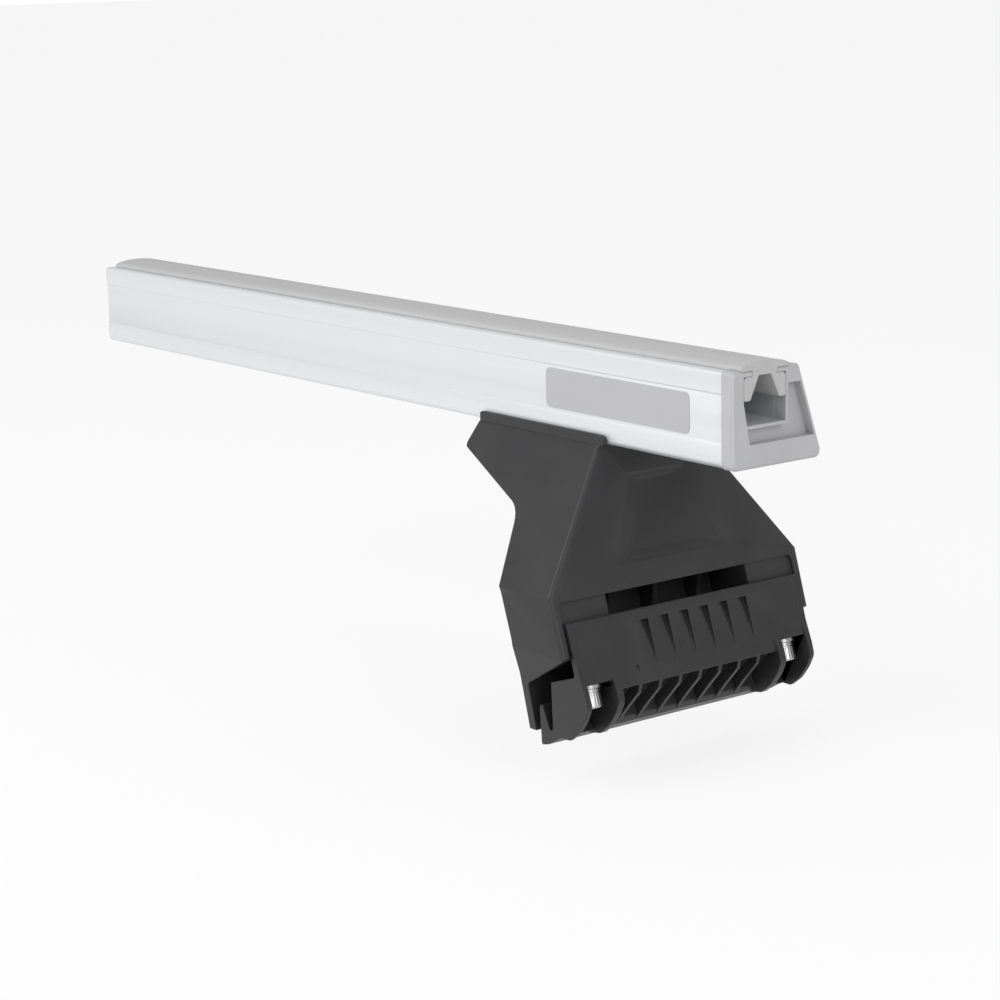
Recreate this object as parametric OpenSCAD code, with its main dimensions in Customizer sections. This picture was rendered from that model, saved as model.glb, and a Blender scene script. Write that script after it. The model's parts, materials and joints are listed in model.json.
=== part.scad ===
// Outer end of a roof rack crossbar on its gutter-mount leg.
// X runs along the bar towards its capped end, Y across it, Z is up.
// The origin is the middle of the foot's underside, where the leg stands in the roof gutter.

/* [Crossbar] */
// Length of the aluminium extrusion
bar_len = 456; // [300:1:900]
// Distance from the gutter seat to the cut outer end of the extrusion
bar_out = 72; // [40:0.5:120]
// Height of the section
bar_h = 37; // [34:0.5:44]
// Width of the section across its underside
bar_w = 46.4; // [44:0.2:60]
// Lean of the far side from vertical, in degrees
far_lean = 18.7; // [8:0.1:20]
// Wall thickness
bar_wall = 2.2; // [1.6:0.1:2.8]
// Radius of the outer corners
bar_corner = 2.6; // [1.5:0.1:3.5]
// Lower edge of the shallow band in each side
band_low = 9.3; // [6:0.1:12]
// Upper edge of the shallow band
band_high = 28.6; // [24:0.1:30]
// Depth of the shallow band
band_depth = 0.4; // [0.3:0.1:0.8]

/* [Top track] */
// Offset of the track from the middle of the underside
track_y = -7; // [-7.4:0.1:-6]
// Width inside the track
track_w = 21.4; // [19:0.1:22]
// Height of the track floor above the underside
track_floor = 16.3; // [15:0.1:18]
// Width of the slot between the track lips
track_slot = 13; // [11:0.1:14]
// Thickness of the track lips and walls
track_wall = 2; // [1.6:0.1:2.4]

/* [Bolt channel] */
// Width of the slot in the underside
channel_slot = 8.6; // [8.4:0.1:9.4]
// Width inside the bolt channel
channel_w = 14.4; // [13.6:0.1:15]
// Height inside the bolt channel
channel_h = 6.2; // [5.8:0.1:7]
// Thickness of the channel lips
channel_lip = 2.6; // [2:0.1:3]

/* [Rubber strip] */
// Width of the strip over the track lips
strip_w = 24.1; // [22.5:0.1:24.5]
// Height of its edges above the bar
strip_edge = 0.9; // [0.6:0.1:1.6]
// Height of its crown above its edges
strip_crown = 2.3; // [1:0.1:3]
// Thickness of its top
strip_top = 2; // [1.6:0.1:2.6]
// Thickness of its legs
strip_leg = 3.3; // [2.4:0.1:3.6]
// Depth of its legs below the track lips
strip_drop = 9.2; // [6:0.1:10]
// Gap between the strip and the track
strip_gap = 0.15; // [0.1:0.05:0.3]
// How far the strip stops short of the bar's inner end
strip_short = 3; // [1:0.5:8]

/* [End cap] */
// Thickness of the cap beyond the extrusion
cap_t = 6; // [5:0.5:8]
// How far the cap stands proud of the section
cap_proud = 0.3; // [0:0.1:0.6]
// Width of the cap's near rim at the sill
cap_rim = 8.6; // [7:0.1:10]
// Height of the cap's bottom rim
cap_sill = 9; // [8:0.1:11]
// Thickness of the cap's far rim
cap_far = 1.5; // [1.2:0.1:3]
// Height of the block at the cap's far top corner
cap_block = 6.6; // [5:0.1:8]
// Thickness of the liner that carries the track through the cap
cap_liner = 1.3; // [1:0.1:1.8]
// Thickness of the wall behind the cap's pocket
cap_back = 2; // [1.5:0.1:3]
// Length of the two tongues inside the extrusion
cap_tongue = 14; // [8:0.5:20]
// Gap between a tongue and the extrusion
cap_gap = 0.2; // [0.1:0.05:0.4]

/* [Side label] */
// Length of the blank label
label_len = 86; // [60:1:100]
// Height of the blank label
label_h = 16; // [12:0.5:17]
// Distance from the label to the cut outer end of the extrusion
label_in = 18.4; // [10:0.1:40]
// Thickness of the label
label_t = 0.3; // [0.2:0.05:0.4]

/* [Leg] */
// Height of the saddle above the gutter seat
leg_h = 110; // [104:0.5:130]
// Reach of the saddle inboard of the seat
saddle_in = 73.2; // [70:0.2:86]
// Outer face of the leg at saddle height
face_top_x = 3; // [0:0.1:4]
// Tilt of the outer face from vertical, in degrees
face_tilt = 18.2; // [17:0.1:19]
// Depth from the saddle to the kink in the sides
kink_drop = 52.6; // [50:0.1:54]
// Half width of the leg at the saddle
top_half = 25.6; // [25.4:0.1:28]
// Half width of the leg at the kink
kink_half = 65.5; // [65.2:0.1:68]
// Half width of the leg at the cheeks' front corners
cheek_half = 65; // [64.4:0.1:65.2]
// Half width of the foot
foot_half = 58.3; // [57:0.1:62]
// Thickness of the foot plate
foot_t = 4; // [3.2:0.1:4.2]
// Thickness of the leg's outer wall
face_wall = 4.2; // [3.8:0.1:4.4]
// Thickness of the leg's side walls
side_wall = 3; // [2.4:0.1:3.6]
// Thickness of the saddle plate
saddle_t = 5; // [4:0.1:6]
// Thickness of the ribs inside
leg_rib = 2.4; // [1.8:0.1:3]
// Height of the saddle lips
lip_h = 4; // [2.4:0.1:4.5]
// How far the lips reach past the outer face
lip_reach = 2.8; // [1:0.1:4]
// Gap between a saddle lip and the bar
lip_gap = 0.3; // [0.1:0.05:0.5]
// Radius of the outer edges
edge_r = 1.8; // [0.8:0.1:2.4]
// Height of the cheeks' front corners above the seat
cheek_low = 34.5; // [33:0.1:36]
// Thickness of the plate behind the clamp
back_wall = 5; // [4:0.1:6]

/* [Badge field] */
// Depth of the bare field in the outer face
field_depth = 2.4; // [1:0.1:2.6]
// Width of the field at its top
field_top_w = 31; // [26:1:34]
// Width of the field at its bottom
field_low_w = 62; // [54:1:66]
// Distance down the face from the saddle to the field
field_start = 12.6; // [10:0.1:14]
// Height of the field along the face
field_h = 35; // [28:0.5:37]

/* [Clamp] */
// Height above the gutter seat where a clamp screw meets its washer's seat
slide_z = 21.9; // [21.5:0.1:22.5]
// Distance from the leg's outer face in to the screw axis
screw_in = 6.65; // [6.4:0.05:6.8]
// Travel of the clamp upwards from its closed position
travel_up = 5; // [3:0.5:5]
// Half width of the clamp at its top
clamp_half = 61; // [60:0.1:61.5]
// Gap between the clamp and each cheek
clamp_gap = 0.4; // [0.3:0.05:0.8]
// Draft of the clamp's ends, in degrees
clamp_draft = 1.6; // [0.5:0.1:2.4]
// How far the clamp's front face stands proud of the leg's outer face
clamp_proud = 1.6; // [1.4:0.1:2]
// Thickness of the front wall at the ends
clamp_wall = 2.6; // [2.4:0.1:2.7]
// Thickness of the front wall behind the flutes
clamp_wall_mid = 4.6; // [3.8:0.1:5]
// Gap between the front wall and the bosses behind it
boss_gap = 0.45; // [0.35:0.05:0.5]
// Height of the front face above the washers' seat
face_up = 25.1; // [24:0.1:25.4]
// Distance from the washers' seat down to the lip under the front face
lip_down = 4.2; // [3.6:0.1:4.6]
// Thickness of the shelf that the screws pull on
shelf_t = 4; // [3:0.1:4.4]
// Spacing of the ribs under the lip and of the flutes
rib_pitch = 10.45; // [9:0.05:10.8]
// Number of ribs
rib_count = 7; // [3:2:7]
// Thickness of a rib
rib_t = 1.6; // [1.2:0.1:2]
// Depth of a flute at its deepest corner
flute_depth = 2.4; // [1.5:0.1:2.8]
// Width of a flute at its top
flute_w = 6.4; // [5:0.1:8.4]
// Length of a flute down the face
flute_len = 20.9; // [14:0.1:21.5]
// Half distance between the two inner fins
fin_y = 43; // [41.5:0.1:43.5]
// Thickness of a fin
fin_t = 3; // [2.4:0.1:3.4]

/* [Clamp screws] */
// Distance of each screw from the middle of the leg
screw_y = 51.6; // [51:0.1:52]
// Thread diameter
screw_d = 6; // [5:0.5:6]
// Length under the head
screw_len = 40; // [38:1:42]
// Head diameter
head_d = 10; // [9:0.1:10.5]
// Head height
head_h = 6; // [5:0.1:6.5]
// Hexagon socket across flats
socket_af = 5; // [4:0.1:5.2]
// Depth of the hexagon socket
socket_h = 3; // [2:0.1:3.4]
// Thickness of each washer
washer_t = 1.6; // [1:0.1:1.8]
// Outer diameter of the flat washer
washer_d = 12; // [11:0.1:12.5]
// Outer diameter of the spring washer
spring_d = 10.4; // [9.5:0.1:11]
// Gap cut in the spring washer
spring_cut = 1.2; // [0.8:0.1:2]
// Captive nut across flats
nut_af = 10; // [9:0.1:10]
// Captive nut height
nut_h = 5; // [4.5:0.1:5.4]
// Distance from the washers' seat up to the nut
nut_up = 16.6; // [16:0.1:17.4]
// Gap round a screw in its hole
hole_gap = 0.3; // [0.2:0.05:0.4]
// Gap round a captive nut
nut_gap = 0.1; // [0.05:0.05:0.2]

/* [Bar bolts] */
// Thread diameter
bolt_d = 8; // [6:0.5:8]
// Length under the head
bolt_len = 20; // [19:0.5:21]
// Head across flats
bolt_af = 13; // [12:0.1:13.4]
// Head height
bolt_head_h = 5.3; // [4:0.1:5.6]
// X of the inner bolt, inboard of the seat
bolt_in = 52; // [46:0.5:56]
// X of the outer bolt, inboard of the seat
bolt_out = 12; // [10:0.5:18]
// Outer diameter of the washers under the saddle
bolt_washer_d = 16; // [14:0.1:18]
// Lock nut height
bolt_nut_h = 8; // [7:0.1:8.5]

/* [Hidden] */
$fn = 48;
arc_steps = 5;
eps = 0.01;
far_tan = tan(far_lean);
bar_x0 = bar_out - bar_len;
section_top = bar_w - bar_h * far_tan;
track_top = bar_h - track_wall;
track_half = track_w / 2;
block_half = track_half + track_wall;
strip_half = strip_w / 2;
strip_x0 = bar_x0 + strip_short;
cap_x1 = bar_out + cap_t;
strip_x1 = cap_x1;
face_tan = tan(face_tilt);
kink_z = leg_h - kink_drop;
kink_x = face_top_x + kink_drop * face_tan;
side_slope = (kink_half - top_half) / kink_drop;
cheek_slope = (kink_half - cheek_half) / (kink_z - cheek_low);
foot_slope = (cheek_half - foot_half) / cheek_low;
cheek_x = face_top_x + (leg_h - cheek_low) * face_tan;
back_foot = [-foot_t / 2, cheek_low - 11];
back_knee = [-foot_t / 2 - 2.2, cheek_low + 2.5];
back_kink = [-foot_t / 2 - 7.8, kink_z - 2.4];
back_throat = [-foot_t / 2 - 21.7, leg_h - 26.2];
back_heel = [-saddle_in - 1, leg_h - 9.5];
window_z = kink_z - 1.9;
shelf_z = kink_z + 1;
cheek_in = clamp_half + clamp_gap;
pad_in = fin_y - 6;
slide_tilt = face_tilt;
slide_x = face_top_x + (leg_h - slide_z) * face_tan - screw_in / cos(face_tilt);
face_n = screw_in + clamp_proud;
boss_n = face_n - clamp_wall - boss_gap;
boss_up = nut_up - 1.8;
hole_d = screw_d + 2 * hole_gap;
head_down = 2 * washer_t;
liner_y = track_y + track_half + cap_liner;

// One corner of an outline, [x, y, radius], turned into an arc between its neighbours
function unit(v) = v / norm(v);
function flat(p) = [p[0], p[1]];
function turn(a) = a > 180 ? a - 360 : (a < -180 ? a + 360 : a);
function arc_points(centre, r, a0, sweep) =
    [for (i = [0:arc_steps]) centre + r * [cos(a0 + sweep * i / arc_steps), sin(a0 + sweep * i / arc_steps)]];
function angle_of(v) = atan2(v[1], v[0]);
function round_corner(p, u, v, r) =
    let (
        half = acos(u * v) / 2,
        centre = p + unit(u + v) * r / sin(half),
        start = p + u * r / tan(half),
        stop = p + v * r / tan(half),
        a0 = angle_of(start - centre),
        a1 = angle_of(stop - centre)
    )
    arc_points(centre, r, a0, turn(a1 - a0));
function corner(a, b, c) =
    b[2] == 0 ? [flat(b)] : round_corner(flat(b), unit(flat(a) - flat(b)), unit(flat(c) - flat(b)), b[2]);
function rounded(pts) =
    [for (i = [0:len(pts) - 1]) each corner(pts[(i + len(pts) - 1) % len(pts)], pts[i], pts[(i + 1) % len(pts)])];

// A point of the slide frame: n out from the screw axis, s up along it, in the leg's X and Z
function slid(n, s, r = 0) =
    [
        slide_x + n * cos(slide_tilt) - s * sin(slide_tilt),
        slide_z + n * sin(slide_tilt) + s * cos(slide_tilt),
        r
    ];

// Across the bar, the far side of the section at height v, inset by a wall
function far_side(v, inset = 0) = bar_w / 2 - v * far_tan - inset / cos(far_lean);

// Draw an outline in Y and Z and carry it along X
module along_x(x0, x1) {
    translate([x0, 0, 0])
        rotate([90, 0, 90])
            linear_extrude(x1 - x0)
                children();
}

// Draw an outline in X and Z and carry it along Y
module along_y(y0, y1) {
    translate([0, y1, 0])
        rotate([90, 0, 0])
            linear_extrude(y1 - y0)
                children();
}

module slide_frame(y = 0) {
    translate([slide_x, y, slide_z])
        rotate([0, -slide_tilt, 0])
            children();
}

module both_ends() {
    children();
    mirror([0, 1, 0])
        children();
}

// Crossbar section, drawn above z = 0 as the underside
module bar_outline(grow = 0) {
    polygon(rounded([
        [-bar_w / 2 - grow, -grow, bar_corner],
        [far_side(-grow, -grow), -grow, bar_corner],
        [far_side(bar_h + grow, -grow), bar_h + grow, bar_corner],
        [-bar_w / 2 - grow, bar_h + grow, bar_corner / 2]
    ]));
}

module side_bands() {
    polygon([
        [-bar_w / 2 - 1, band_low - 1],
        [-bar_w / 2 + band_depth, band_low + band_depth],
        [-bar_w / 2 + band_depth, band_high - band_depth],
        [-bar_w / 2 - 1, band_high + 1]
    ]);
    polygon([
        [far_side(band_low - 1, -1), band_low - 1],
        [far_side(band_low + band_depth, band_depth), band_low + band_depth],
        [far_side(band_high - band_depth, band_depth), band_high - band_depth],
        [far_side(band_high + 1, -1), band_high + 1]
    ]);
}

module track_cut() {
    translate([track_y - track_half, track_floor])
        square([track_w, track_top - track_floor]);
    translate([track_y - track_slot / 2, track_floor])
        square([track_slot, bar_h]);
}

module channel_cut() {
    translate([-channel_w / 2, channel_lip])
        square([channel_w, channel_h]);
    translate([-channel_slot / 2, -1])
        square([channel_slot, channel_lip + 2]);
}

module hollow_cut() {
    difference() {
        polygon([
            [-bar_w / 2 + bar_wall + band_depth, bar_wall],
            [far_side(bar_wall, bar_wall + band_depth), bar_wall],
            [far_side(bar_h - bar_wall, bar_wall + band_depth), bar_h - bar_wall],
            [-bar_w / 2 + bar_wall + band_depth, bar_h - bar_wall]
        ]);
        translate([-bar_w / 2, track_floor - track_wall])
            square([bar_w / 2 + track_y + block_half, bar_h]);
        translate([-channel_w / 2 - track_wall, 0])
            square([channel_w + 2 * track_wall, channel_lip + channel_h + track_wall]);
        translate([-track_wall / 2, 0])
            square([track_wall, track_floor]);
    }
}

module bar_extrusion() {
    color("gainsboro")
        translate([0, 0, leg_h])
            along_x(bar_x0, bar_out)
                difference() {
                    bar_outline();
                    side_bands();
                    track_cut();
                    channel_cut();
                    hollow_cut();
                }
}

// Half outline of the strip, from the crown to the foot of a leg and back up inside the arch
function strip_side(k) =
    let (neck = track_slot / 2 - strip_gap, foot = track_half - strip_gap)
    concat(
        [
            for (a = [18:18:90])
                [k * strip_half * sin(a), bar_h + strip_edge + strip_crown * cos(a)]
        ],
        [
            [k * strip_half, bar_h],
            [k * neck, bar_h],
            [k * neck, track_top - strip_gap],
            [k * (foot - 1), track_top - strip_gap],
            [k * foot, track_top - 2],
            [k * foot, track_top - strip_drop],
            [k * (foot - strip_leg), track_top - strip_drop],
            [k * (neck - strip_leg), bar_h - strip_top]
        ]
    );
function backwards(pts) = [for (i = [len(pts) - 1:-1:0]) pts[i]];

module top_strip() {
    crown = [[0, bar_h + strip_edge + strip_crown]];
    color("dimgray")
        translate([0, track_y, leg_h])
            along_x(strip_x0, strip_x1)
                polygon(concat(crown, strip_side(1), backwards(strip_side(-1))));
}

// Inner edge of the cap's near rim: it leans in towards the sill and meets the track's near wall
function near_rim(v) =
    let (near_y = -bar_w / 2, wall_y = track_y - track_half, top_v = track_top - strip_drop - 1)
    v >= top_v ? wall_y : wall_y + (near_y + cap_rim - wall_y) * (top_v - v) / (top_v - cap_sill);

// The track goes on through the cap, lips and all, under a seat for the strip
module cap_track() {
    seat = strip_half + 2 * strip_gap;
    polygon([
        [near_rim(track_floor), track_floor],
        [track_y + track_half, track_floor],
        [track_y + track_half, track_top],
        [track_y - track_half, track_top],
        [track_y - track_half, track_top - strip_drop - 1]
    ]);
    translate([track_y - track_slot / 2, track_top - 1])
        square([track_slot, track_wall + 6]);
    translate([track_y - seat, bar_h])
        square([2 * seat, 6]);
}

// Pocket of the cap: below the track and beside it, up to the block at the far top corner
module cap_pocket() {
    roof = bar_h - cap_block;
    polygon([
        [near_rim(cap_sill), cap_sill],
        [far_side(cap_sill, cap_far), cap_sill],
        [far_side(roof, cap_far), roof],
        [liner_y, roof],
        [liner_y, track_floor - cap_liner],
        [near_rim(track_floor - cap_liner), track_floor - cap_liner]
    ]);
}

module cap_tongues() {
    inset = bar_wall + band_depth + cap_gap;
    low = bar_wall + cap_gap;
    edge = channel_w / 2 + track_wall + cap_gap;
    roof = track_floor - track_wall - cap_gap;
    polygon([
        [-bar_w / 2 + inset, low],
        [-edge, low],
        [-edge, cap_sill + 3],
        [-bar_w / 2 + inset, cap_sill + 3]
    ]);
    polygon([
        [edge, low],
        [far_side(low, inset), low],
        [far_side(roof, inset), roof],
        [edge, roof]
    ]);
}

module end_cap() {
    bevel = 1;
    color("gray")
        translate([0, 0, leg_h]) {
            difference() {
                union() {
                    along_x(bar_out, cap_x1 - bevel)
                        bar_outline(cap_proud);
                    hull() {
                        along_x(cap_x1 - bevel, cap_x1 - bevel + eps)
                            bar_outline(cap_proud);
                        along_x(cap_x1 - eps, cap_x1)
                            bar_outline(cap_proud - bevel);
                    }
                }
                along_x(bar_out - 1, cap_x1 + 1)
                    cap_track();
                along_x(bar_out + cap_back, cap_x1 + 1)
                    cap_pocket();
            }
            along_x(bar_out - cap_tongue, bar_out + eps)
                cap_tongues();
        }
}

module side_label() {
    r = 2.4;
    x1 = bar_out - label_in;
    x0 = x1 - label_len;
    low = (band_low + band_high - label_h) / 2;
    face_y = -bar_w / 2 + band_depth;
    color("darkgray")
        translate([0, 0, leg_h])
            along_y(face_y - label_t, face_y)
                polygon(rounded([[x0, low, r], [x1, low, r], [x1, low + label_h, r], [x0, low + label_h, r]]));
}

// Side view of the leg: saddle, outer face, cheeks, foot, then up the back to the heel
function leg_side_points() =
    [
        [-saddle_in, leg_h + 6, 0],
        [face_top_x - 6 * face_tan, leg_h + 6, 0],
        [cheek_x, cheek_low, 1.5],
        [foot_t / 2, cheek_low - 14.5, 2],
        [foot_t / 2, -6, 0],
        [-foot_t / 2, -6, 0],
        [back_foot[0], back_foot[1], 12],
        [back_knee[0], back_knee[1], 14],
        [back_kink[0], back_kink[1], 3],
        [back_throat[0], back_throat[1], 14],
        [back_heel[0], back_heel[1], 2.5]
    ];
// Half widths of the leg from below the foot to above the saddle, as [half width, height]
leg_sides = [
    [foot_half - 6 * foot_slope, -6],
    [cheek_half, cheek_low],
    [kink_half, kink_z],
    [top_half - 6 * side_slope, leg_h + 6]
];
function leg_front_points() =
    concat(leg_sides, [for (p = backwards(leg_sides)) [-p[0], p[1]]]);

// Everything beyond the plane through p with outward normal n
module beyond(p, n) {
    translate(p)
        rotate([0, acos(n[2]), atan2(n[1], n[0])])
            translate([-150, -150, 0])
                cube([300, 300, 30]);
}

// Soften the edge between two planes with normals a and b through the point e
module soften(e, a, b) {
    centre = e - edge_r * (a + b) / (1 + a * b);
    for (k = [0.25, 0.5, 0.75]) {
        n = unit((1 - k) * a + k * b);
        beyond(centre + edge_r * n, n);
    }
}

module leg_shell() {
    face_normal = [cos(face_tilt), 0, sin(face_tilt)];
    difference() {
        intersection() {
            along_y(-kink_half, kink_half)
                polygon(rounded(leg_side_points()));
            along_x(back_heel[0] - 1, cheek_x)
                polygon(leg_front_points());
            translate([-saddle_in - 10, -kink_half - 10, 0])
                cube([2 * saddle_in, 2 * kink_half + 20, leg_h]);
        }
        both_ends() {
            soften([kink_x, kink_half, kink_z], face_normal, unit([0, 1, side_slope]));
            soften([kink_x, kink_half, kink_z], face_normal, unit([0, 1, -cheek_slope]));
        }
    }
}

// Space under the saddle, open towards the vehicle
module upper_hollow() {
    wall_x = face_wall / cos(face_tilt);
    top_z = leg_h - saddle_t;
    wall_y = side_wall * sqrt(1 + side_slope * side_slope);
    intersection() {
        along_y(-kink_half, kink_half)
            polygon([
                [-saddle_in - 10, top_z],
                [face_top_x + saddle_t * face_tan - wall_x, top_z],
                [kink_x - (shelf_z - kink_z) * face_tan - wall_x, shelf_z],
                [-saddle_in - 10, shelf_z]
            ]);
        along_x(-saddle_in - 10, kink_x)
            polygon([
                [wall_y - top_half, leg_h],
                [top_half - wall_y, leg_h],
                [kink_half - wall_y, kink_z],
                [wall_y - kink_half, kink_z]
            ]);
    }
}

// Ribs left standing in the upper hollow, set back from its open side
module upper_ribs() {
    back = 4;
    intersection() {
        along_y(-kink_half, kink_half)
            polygon([
                [back_heel[0] + back, leg_h],
                [kink_x, leg_h],
                [kink_x, kink_z],
                [back_kink[0] + back, kink_z],
                [back_throat[0] + back, back_throat[1]],
                [back_heel[0] + back, back_heel[1] + back / 3]
            ]);
        for (y = [-42, -15, 15, 42])
            translate([-saddle_in, y - leg_rib / 2, 0])
                cube([2 * saddle_in, leg_rib, leg_h]);
    }
}

// Space behind the clamp, from the cheeks' inner faces to the back plate, with rounded top corners
module lower_hollow() {
    low_z = cheek_low - 20;
    intersection() {
        along_y(-cheek_in, cheek_in)
            polygon([
                [foot_t / 2 + 0.2, low_z],
                [cheek_x + 20, low_z],
                [cheek_x + 20, window_z],
                [back_kink[0] + back_wall, window_z],
                [back_knee[0] + back_wall, cheek_low]
            ]);
        along_x(back_kink[0] - 1, cheek_x + 20)
            polygon(rounded([
                [-cheek_in, low_z, 0],
                [cheek_in, low_z, 0],
                [cheek_in, window_z, 2.2],
                [-cheek_in, window_z, 2.2]
            ]));
    }
}

// One boss behind the clamp: its front is the pale pad in the window above the clamp
module screw_boss() {
    low = slid(boss_n, boss_up);
    top = slid(boss_n, boss_up + 30);
    difference() {
        along_y(pad_in, cheek_in + 1)
            polygon([
                flat(low),
                flat(top),
                [back_kink[0], window_z + 10],
                [back_knee[0], cheek_low],
                flat(slid(-9, boss_up))
            ]);
        // Cored from below beside the nut
        slide_frame()
            translate([-12, pad_in + 2, 0])
                cube([12 + boss_n - 2, screw_y - nut_af - pad_in - 0.4, boss_up + 14]);
    }
}

// Half a hexagon that goes on as a slot to the boss's front, where the nut is pushed in
module nut_pocket(y) {
    flat_x = nut_af / 2 + nut_gap;
    corner_y = flat_x / cos(30);
    slide_frame(y)
        translate([0, 0, nut_up - nut_gap])
            linear_extrude(nut_h + 2 * nut_gap)
                polygon([
                    [-flat_x, -corner_y / 2],
                    [0, -corner_y],
                    [10, -corner_y],
                    [10, corner_y],
                    [0, corner_y],
                    [-flat_x, corner_y / 2]
                ]);
}

module screw_bore(y) {
    slide_frame(y)
        cylinder(d = hole_d, h = screw_len - head_down + travel_up + 2);
}

// Gussets between the back plate and the shelf, clear of the gutter
module gussets() {
    for (y = [-24, 0, 24])
        along_y(y - leg_rib / 2, y + leg_rib / 2)
            polygon([
                [back_kink[0], window_z + 1],
                [8, window_z + 1],
                [4, cheek_low - 6],
                [0, cheek_low - 12]
            ]);
}

// Outline of the badge field on the outer face, drawn down the face and across it
module field_outline(down, up, side, r) {
    top = field_top_w / 2 - side;
    low = field_low_w / 2 - 1.45 * side;
    polygon(rounded([
        [field_start + down, -top, r],
        [field_start + down, top, r],
        [field_start + field_h - up, low, r],
        [field_start + field_h - up, -low, r]
    ]));
}

// One level of the badge field, at height z from the outer face
module field_level(z, down, up, side, r) {
    translate([0, 0, z])
        linear_extrude(0.2)
            field_outline(down, up, side, r);
}

// Bare badge field with a wall in two bevels, cut into the outer face
module badge_field() {
    step = field_depth * 0.45;
    translate([face_top_x, 0, leg_h])
        rotate([0, 90 - face_tilt, 0]) {
            hull() {
                field_level(-step, 1.2, 1.4, 1.8, 3);
                field_level(1, -1.3, -1.6, -2, 4);
            }
            hull() {
                field_level(-field_depth, 3.2, 4.2, 7.2, 2);
                field_level(0.4 - step, 1.3, 1.2, 1.2, 3);
            }
        }
}

module saddle_lips() {
    inner = bar_w / 2 + lip_gap;
    x1 = face_top_x + lip_reach;
    intersection() {
        along_x(-saddle_in, x1) {
            polygon([
                [-top_half, leg_h - 1],
                [-inner, leg_h - 1],
                [-inner, leg_h + lip_h],
                [0.6 - top_half, leg_h + lip_h],
                [-top_half, leg_h + lip_h - 0.6]
            ]);
            polygon([
                [inner, leg_h - 1],
                [top_half, leg_h - 1],
                [top_half, leg_h],
                [top_half - lip_h * far_tan, leg_h + lip_h],
                [inner - lip_h * far_tan, leg_h + lip_h],
                [inner, leg_h]
            ]);
        }
        along_y(-kink_half, kink_half)
            polygon(rounded([
                [-saddle_in, leg_h - 1, 0],
                [face_top_x, leg_h - 1, 0],
                [x1, leg_h + 0.4, 0.8],
                [x1, leg_h + lip_h, 2.4],
                [-saddle_in, leg_h + lip_h, 0.8]
            ]));
    }
}

module leg_body() {
    color([0.2, 0.2, 0.21])
        difference() {
            union() {
                difference() {
                    leg_shell();
                    difference() {
                        upper_hollow();
                        upper_ribs();
                    }
                    difference() {
                        lower_hollow();
                        both_ends()
                            screw_boss();
                        gussets();
                    }
                }
                saddle_lips();
            }
            badge_field();
            for (y = [-screw_y, screw_y]) {
                nut_pocket(y);
                screw_bore(y);
            }
            for (x = [-bolt_in, -bolt_out])
                translate([x, 0, leg_h - saddle_t - 1])
                    cylinder(d = bolt_d + 2 * hole_gap, h = saddle_t + 2);
        }
}

// Hook of the clamp in side view: underside, spike that goes under the gutter, valley behind it
hook_points = [
    [19.6, 1.2, 1],
    [16.4, -0.4, 2],
    [11.4, -3.3, 2],
    [7, -4.4, 0.8],
    [6.5, 11, 0.5],
    [7.9, 12.6, 0.5],
    [12.7, 1.6, 1.2]
];

module clamp_middle() {
    polygon(rounded(concat(
        [
            slid(face_n - clamp_wall, face_up, 0.6),
            slid(face_n, face_up, 1),
            slid(face_n, -lip_down, 0.4),
            slid(3, -3.8, 1.5),
            [18, 7.5, 2],
            [20.4, 3.8, 0.6]
        ],
        hook_points,
        [
            [14.4, 3.6, 1],
            [15, 8.5, 2],
            slid(-0.6, -1.2, 2),
            slid(face_n - clamp_wall, 1.4, 1.5)
        ]
    )));
}

// The front wall is thicker behind the flutes
module clamp_backing() {
    polygon([
        flat(slid(face_n - clamp_wall_mid, -1)),
        flat(slid(face_n - 1, -1)),
        flat(slid(face_n - 1, face_up - 1.2)),
        flat(slid(face_n - clamp_wall_mid, face_up - 1.2))
    ]);
}

module clamp_end() {
    polygon(rounded(concat(
        [
            slid(face_n - clamp_wall, face_up, 0.6),
            slid(face_n, face_up, 1),
            slid(face_n, 0, 0.4),
            slid(-7.8, 0, 1),
            [17.2, 5.5, 1.5],
            [21.4, 1.8, 0.4]
        ],
        hook_points,
        [
            [14.4, 3.6, 1],
            slid(-10, shelf_t, 0.8),
            slid(face_n - clamp_wall, shelf_t, 1.5)
        ]
    )));
}

// Curved outer edge that the fins and the end walls share
fin_edge = [
    [34.9, 21.2, 6],
    [36.5, 16.4, 4],
    [34, 10.8, 12],
    [29.8, 5.2, 12],
    [24.6, 1.2, 1]
];

module fin() {
    polygon(rounded(concat(
        [slid(face_n - 1, 8, 0)],
        fin_edge,
        [
            [16.8, -0.1, 0],
            [17.4, 6, 0],
            slid(-4, -2, 0),
            slid(face_n - 2, -2, 0)
        ]
    )));
}

module end_wall() {
    polygon(rounded(concat(
        [
            slid(face_n - clamp_wall, face_up, 0.6),
            slid(face_n, face_up, 1),
            slid(face_n, 6, 0)
        ],
        fin_edge,
        hook_points,
        [
            [14.4, 3.6, 1],
            slid(-10, shelf_t, 0.8),
            slid(face_n - clamp_wall, shelf_t, 1.5)
        ]
    )));
}

module rib() {
    polygon(rounded([
        slid(face_n - 0.1, -lip_down + 0.5, 0),
        slid(face_n - 0.1, -lip_down, 0),
        [33.3, 17.2, 2],
        [25.4, 8.6, 6],
        [19.8, 1.9, 0],
        [17.6, 2.4, 0],
        [17.2, 8, 0],
        slid(2, -lip_down + 1, 0)
    ]));
}

// A flute is one sloping cut: a sharp wall on one side, deepest at its top, ending in a point
module flute(y, w, top, len, depth) {
    slide_frame(y)
        polyhedron(
            points = [
                [face_n + 0.02, -w, top],
                [face_n + 0.02, 0, top],
                [face_n + 0.02, 0, top - len],
                [face_n - depth, 0, top]
            ],
            faces = [[0, 1, 2], [0, 3, 1], [1, 3, 2], [0, 2, 3]]
        );
}

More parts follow.
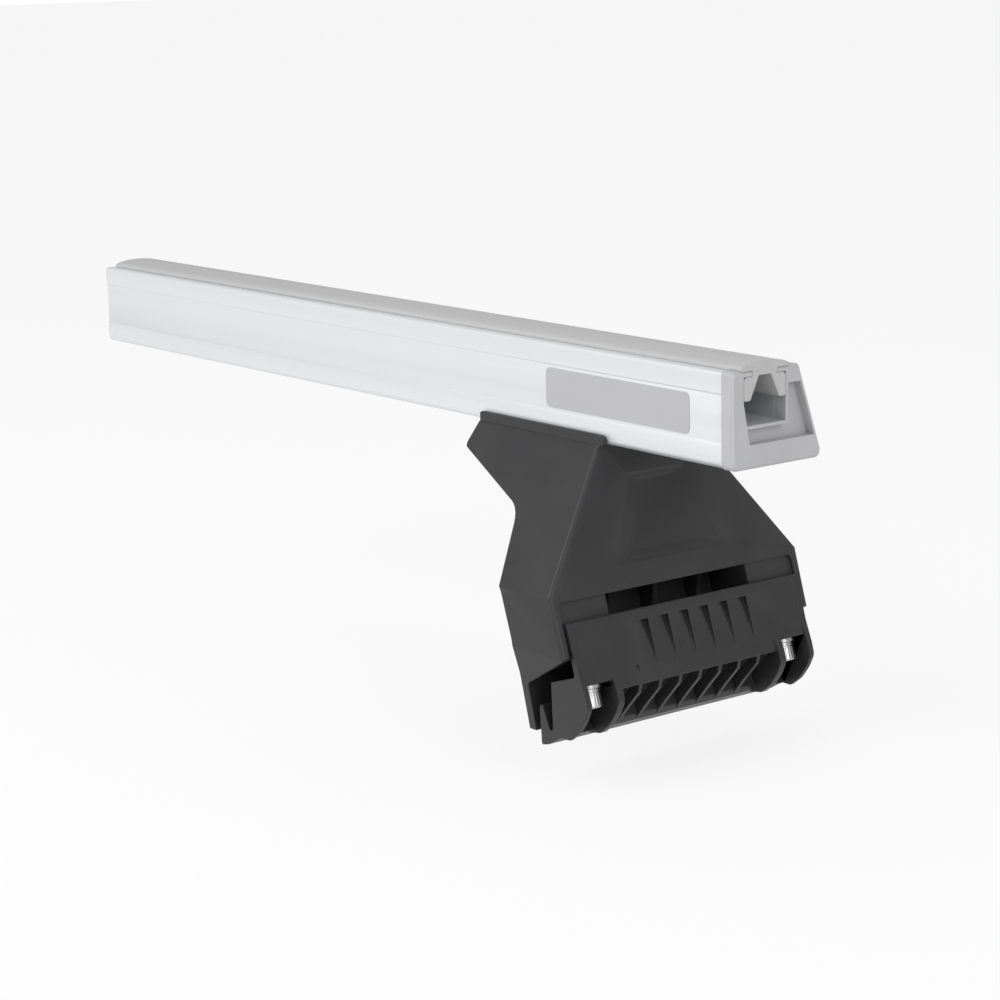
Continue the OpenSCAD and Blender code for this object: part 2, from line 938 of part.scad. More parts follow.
module clamp() {
    drop = slide_z + 5;
    rise = face_up * cos(slide_tilt) + face_n * sin(slide_tilt);
    low_half = clamp_half - (rise + drop) * tan(clamp_draft);
    wall_y = clamp_half - fin_t;
    first_rib = -rib_pitch * (rib_count - 1) / 2;
    color([0.17, 0.17, 0.18])
        difference() {
            union() {
                along_y(-fin_y, fin_y)
                    clamp_middle();
                along_y(1 - pad_in, pad_in - 1)
                    clamp_backing();
                both_ends() {
                    along_y(fin_y, wall_y + eps)
                        clamp_end();
                    along_y(fin_y - fin_t / 2, fin_y + fin_t / 2)
                        fin();
                    intersection() {
                        along_y(wall_y, clamp_half)
                            end_wall();
                        along_x(-10, 60)
                            polygon([
                                [wall_y - 1, -6],
                                [low_half, -6],
                                [clamp_half, slide_z + rise],
                                [clamp_half, 60],
                                [wall_y - 1, 60]
                            ]);
                    }
                }
                for (i = [0:rib_count - 1])
                    along_y(first_rib + i * rib_pitch - rib_t / 2, first_rib + i * rib_pitch + rib_t / 2)
                        rib();
            }
            for (i = [1:rib_count - 1])
                flute(first_rib + i * rib_pitch, flute_w, face_up - 4.6, flute_len, flute_depth);
            flute(first_rib + 1, 2.4, 3.4, 4, 0.8);
            for (y = [-screw_y, screw_y])
                slide_frame(y)
                    translate([0, 0, -1])
                        cylinder(d = hole_d, h = shelf_t + 2);
        }
}

// Socket cap screw along the slide axis, head down
module clamp_screw(y) {
    socket_d = socket_af / cos(30);
    bevel = 0.8;
    color("silver")
        slide_frame(y)
            difference() {
                union() {
                    translate([0, 0, -head_down - head_h])
                        rotate_extrude()
                            polygon([
                                [0, 0],
                                [head_d / 2 - bevel, 0],
                                [head_d / 2, bevel],
                                [head_d / 2, head_h],
                                [0, head_h]
                            ]);
                    translate([0, 0, -head_down - eps])
                        cylinder(d = screw_d, h = screw_len + eps);
                }
                translate([0, 0, -head_down - head_h - 1])
                    cylinder(d = socket_d, h = socket_h + 1, $fn = 6);
            }
}

module spring_washer(y) {
    color("lightgray")
        slide_frame(y)
            translate([0, 0, -head_down])
                difference() {
                    cylinder(d = spring_d, h = washer_t);
                    translate([0, 0, -1])
                        cylinder(d = hole_d, h = washer_t + 2);
                    rotate([0, 0, 200])
                        translate([0, -spring_cut / 2, -1])
                            cube([spring_d, spring_cut, washer_t + 2]);
                }
}

module flat_washer(y) {
    color("silver")
        slide_frame(y)
            translate([0, 0, -washer_t])
                difference() {
                    cylinder(d = washer_d, h = washer_t);
                    translate([0, 0, -1])
                        cylinder(d = hole_d, h = washer_t + 2);
                }
}

module clamp_nut(y) {
    color("silver")
        slide_frame(y)
            translate([0, 0, nut_up])
                difference() {
                    rotate([0, 0, 30])
                        cylinder(d = nut_af / cos(30), h = nut_h, $fn = 6);
                    translate([0, 0, -1])
                        cylinder(d = screw_d + 0.1, h = nut_h + 2);
                }
}

module bar_bolt(x) {
    head_z = leg_h + channel_lip;
    color("silver")
        translate([x, 0, head_z]) {
            cylinder(d = bolt_af / cos(30), h = bolt_head_h, $fn = 6);
            translate([0, 0, -bolt_len])
                cylinder(d = bolt_d, h = bolt_len + eps);
        }
}

module bar_washer(x) {
    color("silver")
        translate([x, 0, leg_h - saddle_t - washer_t])
            difference() {
                cylinder(d = bolt_washer_d, h = washer_t);
                translate([0, 0, -1])
                    cylinder(d = bolt_d + 0.4, h = washer_t + 2);
            }
}

module bar_nut(x) {
    collar = 0.3 * bolt_nut_h;
    color("silver")
        translate([x, 0, leg_h - saddle_t - washer_t - bolt_nut_h])
            difference() {
                union() {
                    cylinder(d = bolt_af - 0.6, h = collar + eps);
                    translate([0, 0, collar])
                        cylinder(d = bolt_af / cos(30), h = bolt_nut_h - collar, $fn = 6);
                }
                translate([0, 0, -1])
                    cylinder(d = bolt_d + 0.1, h = bolt_nut_h + 2);
            }
}

bar_extrusion();
top_strip();
end_cap();
side_label();
leg_body();
clamp();
clamp_screw(-screw_y);  // clamp_screw_near
clamp_screw(screw_y);  // clamp_screw_far
spring_washer(-screw_y);  // spring_washer_near
spring_washer(screw_y);  // spring_washer_far
flat_washer(-screw_y);  // flat_washer_near
flat_washer(screw_y);  // flat_washer_far
clamp_nut(-screw_y);  // clamp_nut_near
clamp_nut(screw_y);  // clamp_nut_far
bar_bolt(-bolt_in);  // bar_bolt_inner
bar_bolt(-bolt_out);  // bar_bolt_outer
bar_washer(-bolt_in);  // bar_washer_inner
bar_washer(-bolt_out);  // bar_washer_outer
bar_nut(-bolt_in);  // bar_nut_inner
bar_nut(-bolt_out);  // bar_nut_outer
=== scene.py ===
# %% [markdown]
# # A roof rack crossbar on its gutter-mount leg
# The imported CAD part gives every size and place. This file gives it its looks: the finish of each
# material, and finer meshes where light would show a plain CAD surface up. All lengths are metres,
# in the CAD part's own frame: X along the bar, Y across it, Z up, origin under the leg's foot.

import json
import math

import bmesh
import bpy
import numpy as np
from mathutils import Matrix, Vector


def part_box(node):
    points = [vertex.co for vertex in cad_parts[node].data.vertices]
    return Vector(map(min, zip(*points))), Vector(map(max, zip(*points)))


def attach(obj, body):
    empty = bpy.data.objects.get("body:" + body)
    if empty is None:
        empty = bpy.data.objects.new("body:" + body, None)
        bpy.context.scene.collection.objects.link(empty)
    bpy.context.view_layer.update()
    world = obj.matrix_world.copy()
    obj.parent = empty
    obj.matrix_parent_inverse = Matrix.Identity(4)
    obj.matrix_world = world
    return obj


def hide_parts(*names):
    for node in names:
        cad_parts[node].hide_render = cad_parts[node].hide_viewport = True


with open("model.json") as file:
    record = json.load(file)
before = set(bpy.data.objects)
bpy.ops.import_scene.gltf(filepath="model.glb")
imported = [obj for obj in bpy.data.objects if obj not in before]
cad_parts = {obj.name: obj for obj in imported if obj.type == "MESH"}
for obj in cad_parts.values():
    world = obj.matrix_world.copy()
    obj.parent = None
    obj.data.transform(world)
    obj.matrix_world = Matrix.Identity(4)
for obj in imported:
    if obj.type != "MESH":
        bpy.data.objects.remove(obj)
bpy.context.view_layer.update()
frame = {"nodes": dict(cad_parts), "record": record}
NODES = frame["nodes"]
MM = 0.001
print("CAD nodes:", len(NODES))

# %% [markdown]
# ## Camera
# The photograph was taken with a long lens from the capped end, a little above the bar. The place and
# angles below were solved from the bar's parallel edges and from pairs of points that mirror each other
# on the leg. A small roll is part of that solution. No shift and no depth of field are needed.

# %% Camera
CAMERA_PLACE = np.array([795.8, -686.5, 308.2]) * MM
YAW, PITCH, ROLL = (math.radians(a) for a in (52.35, 12.0, -1.16))
FOCAL_PIXELS = 2676.0


def camera_axes(yaw, pitch, roll):
    """Right, up and back of the camera: back points from the scene to the lens, roll turns the other two."""
    right = np.array([math.cos(yaw), math.sin(yaw), 0.0])
    back = np.array([math.sin(yaw) * math.cos(pitch), -math.cos(yaw) * math.cos(pitch), math.sin(pitch)])
    up = np.cross(back, right)
    turned_right = math.cos(roll) * right + math.sin(roll) * up
    turned_up = math.cos(roll) * up - math.sin(roll) * right
    return turned_right, turned_up, back


def add_camera():
    data = bpy.data.cameras.new("camera")
    data.sensor_width = 36.0
    data.lens = FOCAL_PIXELS / 1000 * data.sensor_width
    data.clip_end = 20
    camera = bpy.data.objects.new("camera", data)
    matrix = np.eye(4)
    matrix[:3, :3] = np.array(camera_axes(YAW, PITCH, ROLL)).T
    matrix[:3, 3] = CAMERA_PLACE
    camera.matrix_world = Matrix(matrix.tolist())
    bpy.context.scene.collection.objects.link(camera)
    bpy.context.scene.camera = camera
    print("lens", round(data.lens, 1), "mm")


add_camera()

# %% [markdown]
# ## Node helpers
# A material is a small graph. Two helpers keep each graph readable: `place` adds one node and fills its
# inputs, and `link` joins an output to an input. An effect that several materials use is a node group
# with named sockets, so that one graph serves them all with different values.

# %% Helpers for graphs
def place(tree, kind, inputs=None, **settings):
    """Add a node of one kind, set its properties, then fill inputs with values or with outputs."""
    made = tree.nodes.new(kind)
    for name, value in settings.items():
        setattr(made, name, value)
    for name, value in (inputs or {}).items():
        if isinstance(value, bpy.types.NodeSocket):
            tree.links.new(value, made.inputs[name])
        else:
            made.inputs[name].default_value = value
    return made


def ramp(tree, value, stops):
    """A colour ramp from (place, colour) pairs, fed by value."""
    made = place(tree, "ShaderNodeValToRGB", {"Fac": value})
    points = made.color_ramp.elements
    while len(points) < len(stops):
        points.new(0.5)
    for point, (where, colour) in zip(points, stops):
        point.position = where
        point.color = (*colour, 1.0)
    return made.outputs["Color"]


def new_group(name, ins, outs):
    """A node group with float or vector inputs {name: default} and outputs {name: socket type}."""
    group = bpy.data.node_groups.new(name, "ShaderNodeTree")
    for label, default in ins.items():
        kind = "NodeSocketVector" if default is None else "NodeSocketFloat"
        socket = group.interface.new_socket(label, in_out="INPUT", socket_type=kind)
        if default is not None:
            socket.default_value = default
    for label, kind in outs.items():
        group.interface.new_socket(label, in_out="OUTPUT", socket_type=kind)
    return group, group.nodes.new("NodeGroupInput"), group.nodes.new("NodeGroupOutput")


# %% [markdown]
# ### Moulded grain
# Injection-moulded plastic copies the eroded wall of its mould: a fine random pebble, with a slower
# unevenness where the wall cooled at different speeds. Two noises of different size, added as heights,
# give that. The group hands out a normal for the shader and a slow mask for small changes of colour.

# %% Grain group
def grain_group():
    group, given, result = new_group(
        "moulded grain",
        {"Coordinates": None, "Grain per mm": 1.6, "Grain depth": 0.3, "Slow depth": 0.08, "Soft edge mm": 0.5},
        {"Normal": "NodeSocketVector", "Slow mask": "NodeSocketFloat"},
    )
    scale = place(group, "ShaderNodeMath", {0: given.outputs["Grain per mm"], 1: 1000.0}, operation="MULTIPLY")
    fine = place(group, "ShaderNodeTexNoise", {
        "Vector": given.outputs["Coordinates"], "Scale": scale.outputs[0], "Detail": 2.0, "Roughness": 0.6,
    })
    slow = place(group, "ShaderNodeTexNoise", {
        "Vector": given.outputs["Coordinates"], "Scale": 45.0, "Detail": 2.0, "Roughness": 0.5,
    })
    radius = place(group, "ShaderNodeMath", {0: given.outputs["Soft edge mm"], 1: MM}, operation="MULTIPLY")
    edge = place(group, "ShaderNodeBevel", {"Radius": radius.outputs[0]}, samples=6)
    first = place(group, "ShaderNodeBump", {
        "Height": slow.outputs["Fac"], "Strength": given.outputs["Slow depth"],
        "Distance": 0.002, "Normal": edge.outputs["Normal"],
    })
    second = place(group, "ShaderNodeBump", {
        "Height": fine.outputs["Fac"], "Strength": given.outputs["Grain depth"],
        "Distance": 0.0003, "Normal": first.outputs["Normal"],
    })
    group.links.new(second.outputs["Normal"], result.inputs["Normal"])
    group.links.new(slow.outputs["Fac"], result.inputs["Slow mask"])
    return group


GRAIN = grain_group()

# %% [markdown]
# ### Drawn lines
# An extrusion is pushed through a die, so every mark on it runs lengthwise. Noise that is stretched a
# hundred times along X looks like those die lines, on aluminium and on rubber alike.

# %% Drawn lines group
def drawn_lines_group():
    group, given, result = new_group(
        "drawn lines",
        {"Coordinates": None, "Lines per mm": 2.2, "Depth": 0.25, "Soft edge mm": 0.3},
        {"Normal": "NodeSocketVector", "Streaks": "NodeSocketFloat"},
    )
    stretched = place(group, "ShaderNodeMapping", {
        "Vector": given.outputs["Coordinates"], "Scale": (0.01, 1.0, 1.0),
    })
    scale = place(group, "ShaderNodeMath", {0: given.outputs["Lines per mm"], 1: 1000.0}, operation="MULTIPLY")
    lines = place(group, "ShaderNodeTexNoise", {
        "Vector": stretched.outputs[0], "Scale": scale.outputs[0], "Detail": 3.0, "Roughness": 0.7,
    })
    broad = place(group, "ShaderNodeTexNoise", {"Vector": stretched.outputs[0], "Scale": 160.0, "Detail": 2.0})
    radius = place(group, "ShaderNodeMath", {0: given.outputs["Soft edge mm"], 1: MM}, operation="MULTIPLY")
    edge = place(group, "ShaderNodeBevel", {"Radius": radius.outputs[0]}, samples=6)
    bump = place(group, "ShaderNodeBump", {
        "Height": lines.outputs["Fac"], "Strength": given.outputs["Depth"],
        "Distance": 0.0002, "Normal": edge.outputs["Normal"],
    })
    group.links.new(bump.outputs["Normal"], result.inputs["Normal"])
    group.links.new(broad.outputs["Fac"], result.inputs["Streaks"])
    return group


DRAWN_LINES = drawn_lines_group()

# %% [markdown]
# ## Materials
# Each finish starts the same way: Object coordinates into its group, the group's mask into a narrow ramp
# of colour and of roughness, and a Principled shader at the end.

# %% Start of a material
def start_material(name, metallic=0.0, **fixed):
    """A material with a Principled shader whose plain numbers are set on its own sockets."""
    made = bpy.data.materials.new(name)
    made.use_nodes = True
    tree = made.node_tree
    shader = tree.nodes["Principled BSDF"]
    shader.inputs["Metallic"].default_value = metallic
    for label, value in fixed.items():
        shader.inputs[label.replace("_", " ")].default_value = value
    coordinates = place(tree, "ShaderNodeTexCoord").outputs["Object"]
    return made, tree, shader, coordinates


def use_group(tree, group, coordinates, **values):
    """Place a group in a material, with its own values."""
    made = place(tree, "ShaderNodeGroup", node_tree=group)
    tree.links.new(coordinates, made.inputs["Coordinates"])
    for label, value in values.items():
        made.inputs[label.replace("_", " ")].default_value = value
    return made


def spread(tree, mask, low, high):
    """A number that moves between low and high with a mask."""
    made = place(tree, "ShaderNodeMapRange", {
        "Value": mask, "From Min": 0.3, "From Max": 0.7, "To Min": low, "To Max": high,
    })
    return made.outputs["Result"]


# %% [markdown]
# ### Moulded plastics
# The leg and clamp are glass-filled nylon: nearly black, satin, with a pebble that a finger feels. The end
# cap is the same kind of moulding in grey. Only the colours, the grain and the gloss differ.

# %% Moulded plastics
def moulded_plastic(name, dark, light, gloss, grain_per_mm, grain_depth, soft_edge):
    made, tree, shader, coordinates = start_material(name)
    grain = use_group(tree, GRAIN, coordinates, Grain_per_mm=grain_per_mm, Grain_depth=grain_depth,
                      Soft_edge_mm=soft_edge)
    mask = grain.outputs["Slow mask"]
    tree.links.new(ramp(tree, mask, [(0.3, dark), (0.7, light)]), shader.inputs["Base Color"])
    tree.links.new(spread(tree, mask, *gloss), shader.inputs["Roughness"])
    tree.links.new(grain.outputs["Normal"], shader.inputs["Normal"])
    return made


LEG_NYLON = moulded_plastic("leg nylon", (0.018, 0.018, 0.020), (0.025, 0.025, 0.027), (0.44, 0.52), 1.5, 0.30, 0.6)
CLAMP_NYLON = moulded_plastic("clamp nylon", (0.017, 0.017, 0.019), (0.023, 0.023, 0.025), (0.42, 0.50), 1.5, 0.28, 0.5)
CAP_PLASTIC = moulded_plastic("cap plastic", (0.44, 0.44, 0.45), (0.49, 0.49, 0.50), (0.50, 0.58), 2.0, 0.20, 0.4)
LABEL_FILM = moulded_plastic("label film", (0.45, 0.45, 0.46), (0.47, 0.47, 0.48), (0.42, 0.46), 3.0, 0.04, 0.1)

# %% [markdown]
# ### Drawn materials
# The bar is silver anodised aluminium, which keeps its die lines under a satin skin. The strip is grey
# extruded rubber: no metal in it, a much duller surface, and the same lengthwise lines.

# %% Drawn materials
def drawn_material(name, dark, light, gloss, lines_per_mm, depth, metallic, soft_edge):
    made, tree, shader, coordinates = start_material(name, metallic)
    lines = use_group(tree, DRAWN_LINES, coordinates, Lines_per_mm=lines_per_mm, Depth=depth, Soft_edge_mm=soft_edge)
    mask = lines.outputs["Streaks"]
    tree.links.new(ramp(tree, mask, [(0.3, dark), (0.7, light)]), shader.inputs["Base Color"])
    tree.links.new(spread(tree, mask, *gloss), shader.inputs["Roughness"])
    tree.links.new(lines.outputs["Normal"], shader.inputs["Normal"])
    return made


ANODISED = drawn_material("anodised aluminium", (0.75, 0.76, 0.77), (0.79, 0.80, 0.81), (0.42, 0.50), 2.4, 0.18, 0.6, 0.3)
RUBBER = drawn_material("strip rubber", (0.46, 0.46, 0.46), (0.50, 0.50, 0.50), (0.62, 0.72), 1.2, 0.22, 0.0, 0.3)

# %% [markdown]
# ### Steels
# The clamp screws are bright stainless. The bar bolts, hidden under the saddle, are zinc plated: a little
# bluer and duller. Handling leaves faint cloudy marks on both, which the slow noise gives to roughness.

# %% Steels
def steel(name, dark, light, gloss):
    made, tree, shader, coordinates = start_material(name, 1.0)
    grain = use_group(tree, GRAIN, coordinates, Grain_per_mm=4.0, Grain_depth=0.05, Slow_depth=0.02, Soft_edge_mm=0.15)
    mask = grain.outputs["Slow mask"]
    tree.links.new(ramp(tree, mask, [(0.3, dark), (0.7, light)]), shader.inputs["Base Color"])
    tree.links.new(spread(tree, mask, *gloss), shader.inputs["Roughness"])
    tree.links.new(grain.outputs["Normal"], shader.inputs["Normal"])
    return made


BRIGHT_STEEL = steel("bright steel", (0.44, 0.44, 0.44), (0.54, 0.54, 0.54), (0.26, 0.38))
ZINC_STEEL = steel("zinc steel", (0.52, 0.54, 0.57), (0.62, 0.64, 0.66), (0.34, 0.48))

FINISH_OF_SLOT = {
    "bar_aluminium": ANODISED, "strip_rubber": RUBBER, "cap_plastic": CAP_PLASTIC, "label_film": LABEL_FILM,
    "leg_plastic": LEG_NYLON, "clamp_plastic": CLAMP_NYLON, "bright_steel": BRIGHT_STEEL, "zinc_steel": ZINC_STEEL,
}
SLOT_OF_NODE = {s["node"]: s["material_slot"] for s in frame["record"]["subparts"]}
BODY_OF_NODE = {node: body for body, nodes in frame["record"]["behaviour"]["bodies"].items() for node in nodes}
for name, node in NODES.items():
    node.data.materials.clear()
    node.data.materials.append(FINISH_OF_SLOT[SLOT_OF_NODE[name]])
print("finishes:", len(FINISH_OF_SLOT))

# %% [markdown]
# ## Pieces
# Each piece below stands for one CAD node. It rides on that node's body, takes its slot and its finish, and
# keeps its size. `add_piece` does all of that, so the cells only make shapes.

# %% Add a piece
def add_piece(name, mesh):
    """Stand a mesh in for the CAD node of that name: same body, same slot, same finish."""
    piece = bpy.data.objects.new(name + "_finished", mesh)
    bpy.context.scene.collection.objects.link(piece)
    mesh.materials.clear()
    mesh.materials.append(FINISH_OF_SLOT[SLOT_OF_NODE[name]])
    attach(piece, BODY_OF_NODE[name])
    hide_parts(name)
    return piece


# %% [markdown]
# ### Mouldings and cut parts
# No tool leaves a truly sharp edge. A copy of the CAD node is merged first, so that its faces share their
# corners, and flat areas that the import split into triangles become single faces again. Then a Bevel
# modifier rounds every edge that is sharper than the small steps of an arc. Shading is smooth across those
# small steps, so the arcs look round.

# %% Rounded copies
ARC_STEP_LIMIT = math.radians(28)


def rounded_copy(name, radius_mm, rounds=2):
    """A merged copy of a CAD node with its sharp edges rounded."""
    mesh = NODES[name].data.copy()
    work = bmesh.new()
    work.from_mesh(mesh)
    bmesh.ops.remove_doubles(work, verts=work.verts, dist=0.01 * MM)
    bmesh.ops.dissolve_limit(work, angle_limit=math.radians(0.6), verts=work.verts, edges=work.edges)
    for face in work.faces:
        face.smooth = True
    work.to_mesh(mesh)
    work.free()
    mesh.set_sharp_from_angle(angle=ARC_STEP_LIMIT)
    piece = add_piece(name, mesh)
    bevel = piece.modifiers.new("rounded edges", "BEVEL")
    bevel.width = radius_mm * MM
    bevel.segments = rounds
    bevel.limit_method = "ANGLE"
    bevel.angle_limit = ARC_STEP_LIMIT
    bevel.use_clamp_overlap = True
    bevel.harden_normals = True
    return piece


EDGE_RADIUS_MM = {
    "leg_body": 0.5, "clamp": 0.35, "end_cap": 0.3, "bar_extrusion": 0.25, "side_label": 0.08,
    "bar_bolt_inner": 0.4, "bar_bolt_outer": 0.4, "bar_nut_inner": 0.3, "bar_nut_outer": 0.3,
    "bar_washer_inner": 0.2, "bar_washer_outer": 0.2, "clamp_nut_near": 0.3, "clamp_nut_far": 0.3,
    "flat_washer_near": 0.2, "flat_washer_far": 0.2, "spring_washer_near": 0.25, "spring_washer_far": 0.25,
}
for name, radius_mm in EDGE_RADIUS_MM.items():
    rounded_copy(name, radius_mm)
print("rounded copies:", len(EDGE_RADIUS_MM))

# %% [markdown]
# ### Rubber strip
# The strip is one section pushed along the bar. Its crown is an arc of 48 small steps, where the CAD has
# ten, and its shoulders are rounded. The section is drawn across Y and up from the bar's top face.

# %% Strip
STRIP_HALF, STRIP_EDGE, STRIP_CROWN = 12.05, 0.9, 2.3
STRIP_NECK, STRIP_FOOT, STRIP_LEG, STRIP_TOP = 6.35, 10.55, 3.3, 2.0
LIP_UNDER, STRIP_DROP = 2.15, 11.2


def strip_half_section():
    """Half of the strip's section in millimetres, from the crown to the arch: Y out, Z from the bar's top."""
    turns = np.linspace(0, np.pi / 2, 25)
    crown = [(STRIP_HALF * math.sin(a), STRIP_EDGE + STRIP_CROWN * math.cos(a)) for a in turns]
    shoulder = [(STRIP_HALF, 0.3), (STRIP_HALF - 0.09, 0.09), (STRIP_HALF - 0.3, 0.0)]
    leg = [
        (STRIP_NECK, 0.0), (STRIP_NECK, -LIP_UNDER), (STRIP_FOOT - 1, -LIP_UNDER), (STRIP_FOOT, -LIP_UNDER - 1),
        (STRIP_FOOT, -STRIP_DROP + 0.4), (STRIP_FOOT - 0.4, -STRIP_DROP),
        (STRIP_FOOT - STRIP_LEG + 0.4, -STRIP_DROP), (STRIP_FOOT - STRIP_LEG, -STRIP_DROP + 0.4),
        (STRIP_NECK - STRIP_LEG, -STRIP_TOP),
    ]
    return crown + shoulder + leg


def solid_mesh(name, points, faces, sharp_from):
    """A mesh with its faces turned outwards, smooth except where it bends more sharply than the angle given."""
    mesh = bpy.data.meshes.new(name)
    mesh.from_pydata(points.tolist(), [], faces)
    work = bmesh.new()
    work.from_mesh(mesh)
    bmesh.ops.recalc_face_normals(work, faces=work.faces)
    for face in work.faces:
        face.smooth = True
    work.to_mesh(mesh)
    work.free()
    mesh.set_sharp_from_angle(angle=sharp_from)
    return mesh


def prism_along_x(section, x0, x1):
    """A closed mesh: a section in Y and Z, carried from x0 to x1, with flat ends. All in metres."""
    count = len(section)
    points = np.zeros((2 * count, 3))
    points[:count, 0] = x0
    points[count:, 0] = x1
    points[:, 1:] = np.tile(section, (2, 1))
    around = np.arange(count)
    after = (around + 1) % count
    sides = [(int(a), int(b), int(b) + count, int(a) + count) for a, b in zip(around, after)]
    ends = [tuple(range(count - 1, -1, -1)), tuple(range(count, 2 * count))]
    return solid_mesh("strip", points, sides + ends, ARC_STEP_LIMIT)


def add_strip():
    low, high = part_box("top_strip")
    half = strip_half_section()
    section = np.array(half + [(-y, z) for y, z in reversed(half[1:])]) * MM
    section[:, 0] += (low[1] + high[1]) / 2
    section[:, 1] += high[2] - (STRIP_EDGE + STRIP_CROWN) * MM
    add_piece("top_strip", prism_along_x(section[::-1], low[0], high[0]))


add_strip()

# %% [markdown]
# ### Clamp screws
# A screw is turned, so it is made of rings round its axis. A ring's radius may vary with the angle: twenty
# four shallow grooves make the knurl, a hexagon makes the socket, and a ridge that climbs one pitch per turn
# makes the thread. The axis and the place come from the screw's own joint.

# %% Rings
def ring_mesh(radii, heights, around):
    """Points and faces of a closed turned body. radii[i] is a number, or one number per angle."""
    angles = np.arange(around) * 2 * np.pi / around
    spread_out = np.array([np.broadcast_to(r, around) for r in radii])
    points = np.stack([
        spread_out * np.cos(angles), spread_out * np.sin(angles), np.repeat(np.array(heights)[:, None], around, 1),
    ], axis=2).reshape(-1, 3)
    step = np.arange(around)
    after = (step + 1) % around
    faces = []
    for ring in range(len(radii) - 1):
        base, top = ring * around, (ring + 1) * around
        faces += [(int(base + a), int(base + b), int(top + b), int(top + a)) for a, b in zip(step, after)]
    last = (len(radii) - 1) * around
    faces.append(tuple(int(a) for a in step[::-1]))
    faces.append(tuple(int(last + a) for a in step))
    return points, faces


HEAD_RADIUS, HEAD_LOW, HEAD_TOP = 5.0, -9.2, -3.2
SOCKET_HALF, SOCKET_FLOOR = 2.5, -6.2
THREAD_TIP, THREAD_START, PITCH = 36.8, -2.0, 1.0
THREAD_OUTER, THREAD_DEPTH = 2.98, 0.5


def screw_head():
    around = 144
    angles = np.arange(around) * 2 * np.pi / around
    hexagon = SOCKET_HALF / np.cos(np.mod(angles, np.pi / 3) - np.pi / 6)
    knurl = HEAD_RADIUS - 0.16 * np.abs(np.sin(12 * angles))
    rings = [
        (0.4, SOCKET_FLOOR + 0.5), (1.9, SOCKET_FLOOR), (hexagon * 0.985, SOCKET_FLOOR), (hexagon, SOCKET_FLOOR - 0.05),
        (hexagon, HEAD_LOW + 0.35), (3.05, HEAD_LOW + 0.06), (3.2, HEAD_LOW), (4.35, HEAD_LOW), (4.62, HEAD_LOW + 0.08),
        (4.84, HEAD_LOW + 0.28), (HEAD_RADIUS - 0.05, HEAD_LOW + 0.6), (knurl, HEAD_LOW + 0.8),
        (knurl, HEAD_TOP - 0.5), (HEAD_RADIUS - 0.12, HEAD_TOP - 0.3), (HEAD_RADIUS - 0.15, HEAD_TOP), (2.6, HEAD_TOP),
    ]
    return ring_mesh([r for r, _ in rings], [z for _, z in rings], around)


def screw_thread():
    around = 48
    turns = np.arange(around) / around
    heights = np.arange(THREAD_START, THREAD_TIP - 0.8, PITCH / 6)
    radii = []
    for height in heights:
        phase = np.mod(height / PITCH - turns, 1.0)
        radii.append(THREAD_OUTER - THREAD_DEPTH * np.abs(2 * phase - 1))
    plain = THREAD_OUTER - 0.02
    rings = [(plain, HEAD_TOP - 0.5), (plain, THREAD_START - 0.1), *zip(radii, heights)]
    rings += [(THREAD_OUTER - THREAD_DEPTH, THREAD_TIP - 0.7), (THREAD_OUTER - 0.9, THREAD_TIP)]
    return ring_mesh([r for r, _ in rings], [z for _, z in rings], around)


def add_screw(name, joint_name):
    joint = next(j for j in frame["record"]["behaviour"]["joints"] if j["name"] == joint_name)
    along = np.array(joint["axis"]) / np.linalg.norm(joint["axis"])
    across = np.array([0.0, 1.0, 0.0])
    out = np.cross(across, along)
    points, faces = screw_head()
    more, more_faces = screw_thread()
    faces = faces + [tuple(i + len(points) for i in face) for face in more_faces]
    local = np.concatenate([points, more]) * MM
    placed = np.array(joint["pos_m"]) + local @ np.array([out, across, along])
    add_piece(name, solid_mesh("screw", placed, faces, math.radians(40)))


add_screw("clamp_screw_near", "screw_near_turn")
add_screw("clamp_screw_far", "screw_far_turn")
print("screws: 2")

# %% [markdown]
# ## Floor and light
# The photograph has a pure white ground. The floor is a plain pale sheet, low enough for the clamp to open
# all the way above it. What the camera and mirrors see of it is mostly white of strength 1, mixed with its
# lit surface, so a soft shadow stays.

# %% Floor
FLOOR_Z = -19.5 * MM


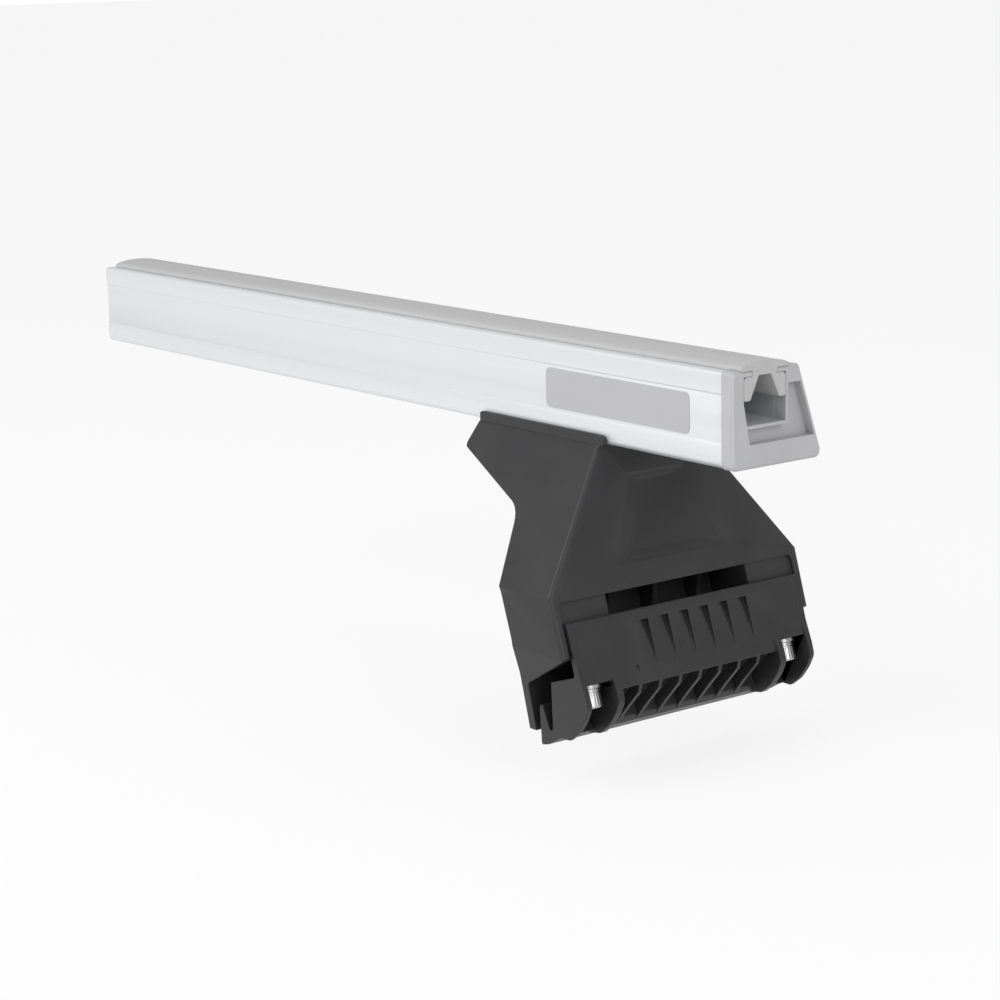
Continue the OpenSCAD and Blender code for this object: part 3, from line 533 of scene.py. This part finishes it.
def add_floor():
    size = 12.0
    mesh = bpy.data.meshes.new("floor")
    corners = [(-size, -size, FLOOR_Z), (size, -size, FLOOR_Z), (size, size, FLOOR_Z), (-size, size, FLOOR_Z)]
    mesh.from_pydata(corners, [], [(0, 1, 2, 3)])
    floor = bpy.data.objects.new("floor", mesh)
    bpy.context.scene.collection.objects.link(floor)
    made = bpy.data.materials.new("pale floor")
    made.use_nodes = True
    tree = made.node_tree
    lit = tree.nodes["Principled BSDF"]
    lit.inputs["Base Color"].default_value = (0.85, 0.85, 0.85, 1)
    lit.inputs["Roughness"].default_value = 0.9
    white = place(tree, "ShaderNodeEmission", {"Color": (1, 1, 1, 1), "Strength": 1.0})
    path = place(tree, "ShaderNodeLightPath")
    seen = place(tree, "ShaderNodeMath", {0: path.outputs["Is Camera Ray"], 1: path.outputs["Is Glossy Ray"]},
                 operation="MAXIMUM")
    share = place(tree, "ShaderNodeMath", {0: seen.outputs[0], 1: 0.82}, operation="MULTIPLY")
    both = place(tree, "ShaderNodeMixShader", {0: share.outputs[0], 1: lit.outputs[0], 2: white.outputs[0]})
    tree.links.new(both.outputs[0], tree.nodes["Material Output"].inputs["Surface"])
    mesh.materials.append(made)


add_floor()

# %% [markdown]
# The light is plain and soft: a white world all round, one large lamp over the camera's left shoulder for
# the bar's near side, and a weaker one from the right for the leg's front. Colours then render about as
# they are written.

# %% Light
def add_lamp(name, place_m, aim_m, size, watts):
    data = bpy.data.lights.new(name, "AREA")
    data.shape = "DISK"
    data.size = size
    data.energy = watts
    lamp = bpy.data.objects.new(name, data)
    lamp.location = place_m
    away = Vector(place_m) - Vector(aim_m)
    lamp.rotation_euler = away.to_track_quat("Z", "Y").to_euler()
    bpy.context.scene.collection.objects.link(lamp)


def add_light():
    world = bpy.data.worlds.new("studio")
    bpy.context.scene.world = world
    world.use_nodes = True
    tree = world.node_tree
    sky = tree.nodes["Background"]
    sky.inputs["Color"].default_value = (1, 1, 1, 1)
    sky.inputs["Strength"].default_value = 0.62
    white = place(tree, "ShaderNodeBackground", {"Color": (1, 1, 1, 1), "Strength": 1.0})
    path = place(tree, "ShaderNodeLightPath")
    seen = place(tree, "ShaderNodeMath", {0: path.outputs["Is Camera Ray"], 1: path.outputs["Is Transmission Ray"]},
                 operation="MAXIMUM")
    both = place(tree, "ShaderNodeMixShader", {0: seen.outputs[0], 1: sky.outputs[0], 2: white.outputs[0]})
    tree.links.new(both.outputs[0], tree.nodes["World Output"].inputs["Surface"])
    add_lamp("key", (-0.25, -1.5, 1.1), (-0.05, 0, 0.08), 1.2, 16)
    add_lamp("front", (1.5, -0.2, 0.9), (0, 0, 0.06), 0.9, 7)


add_light()
bpy.context.scene.view_settings.view_transform = "Standard"

# %% [markdown]
# ## The end
# A small helper turns a box's pair of corners into plain lists of numbers.

# %% Sizes and finish
def plain(box):
    """A pair of corners as plain lists of numbers."""
    return [[round(float(v), 5) for v in corner] for corner in box]
